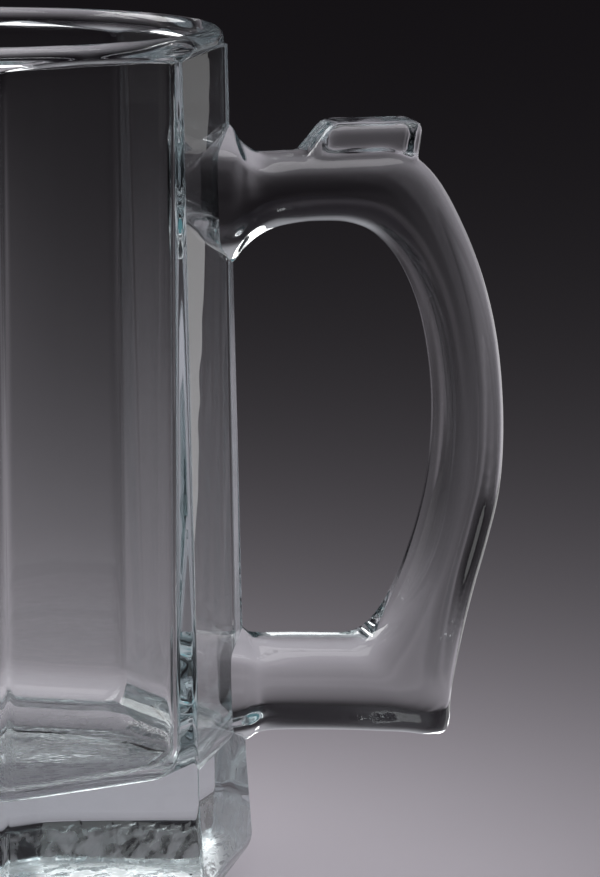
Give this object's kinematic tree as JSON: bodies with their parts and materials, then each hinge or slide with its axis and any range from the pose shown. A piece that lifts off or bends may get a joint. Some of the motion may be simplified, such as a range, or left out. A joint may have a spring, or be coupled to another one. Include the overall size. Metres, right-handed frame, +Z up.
{
  "type": "beer mug",
  "caption": "Panelled clear glass beer mug with a heavy solid base, a rounded lip and a fused loop handle with a thumb rest.",
  "frame": {"origin": "centre of the standing ring on the bowl's axis, at table level", "axes": "+Z up the bowl's axis, +X from the bowl towards the handle"},
  "size_m": [0.1355, 0.094, 0.143],
  "materials": {
    "bowl_glass": "clear pressed glass, fire polished",
    "handle_glass": "clear pressed glass, fire polished"
  },
  "bodies": {
    "root": {"bowl": "bowl_glass", "handle": "handle_glass"}
  },
  "joints": []
}
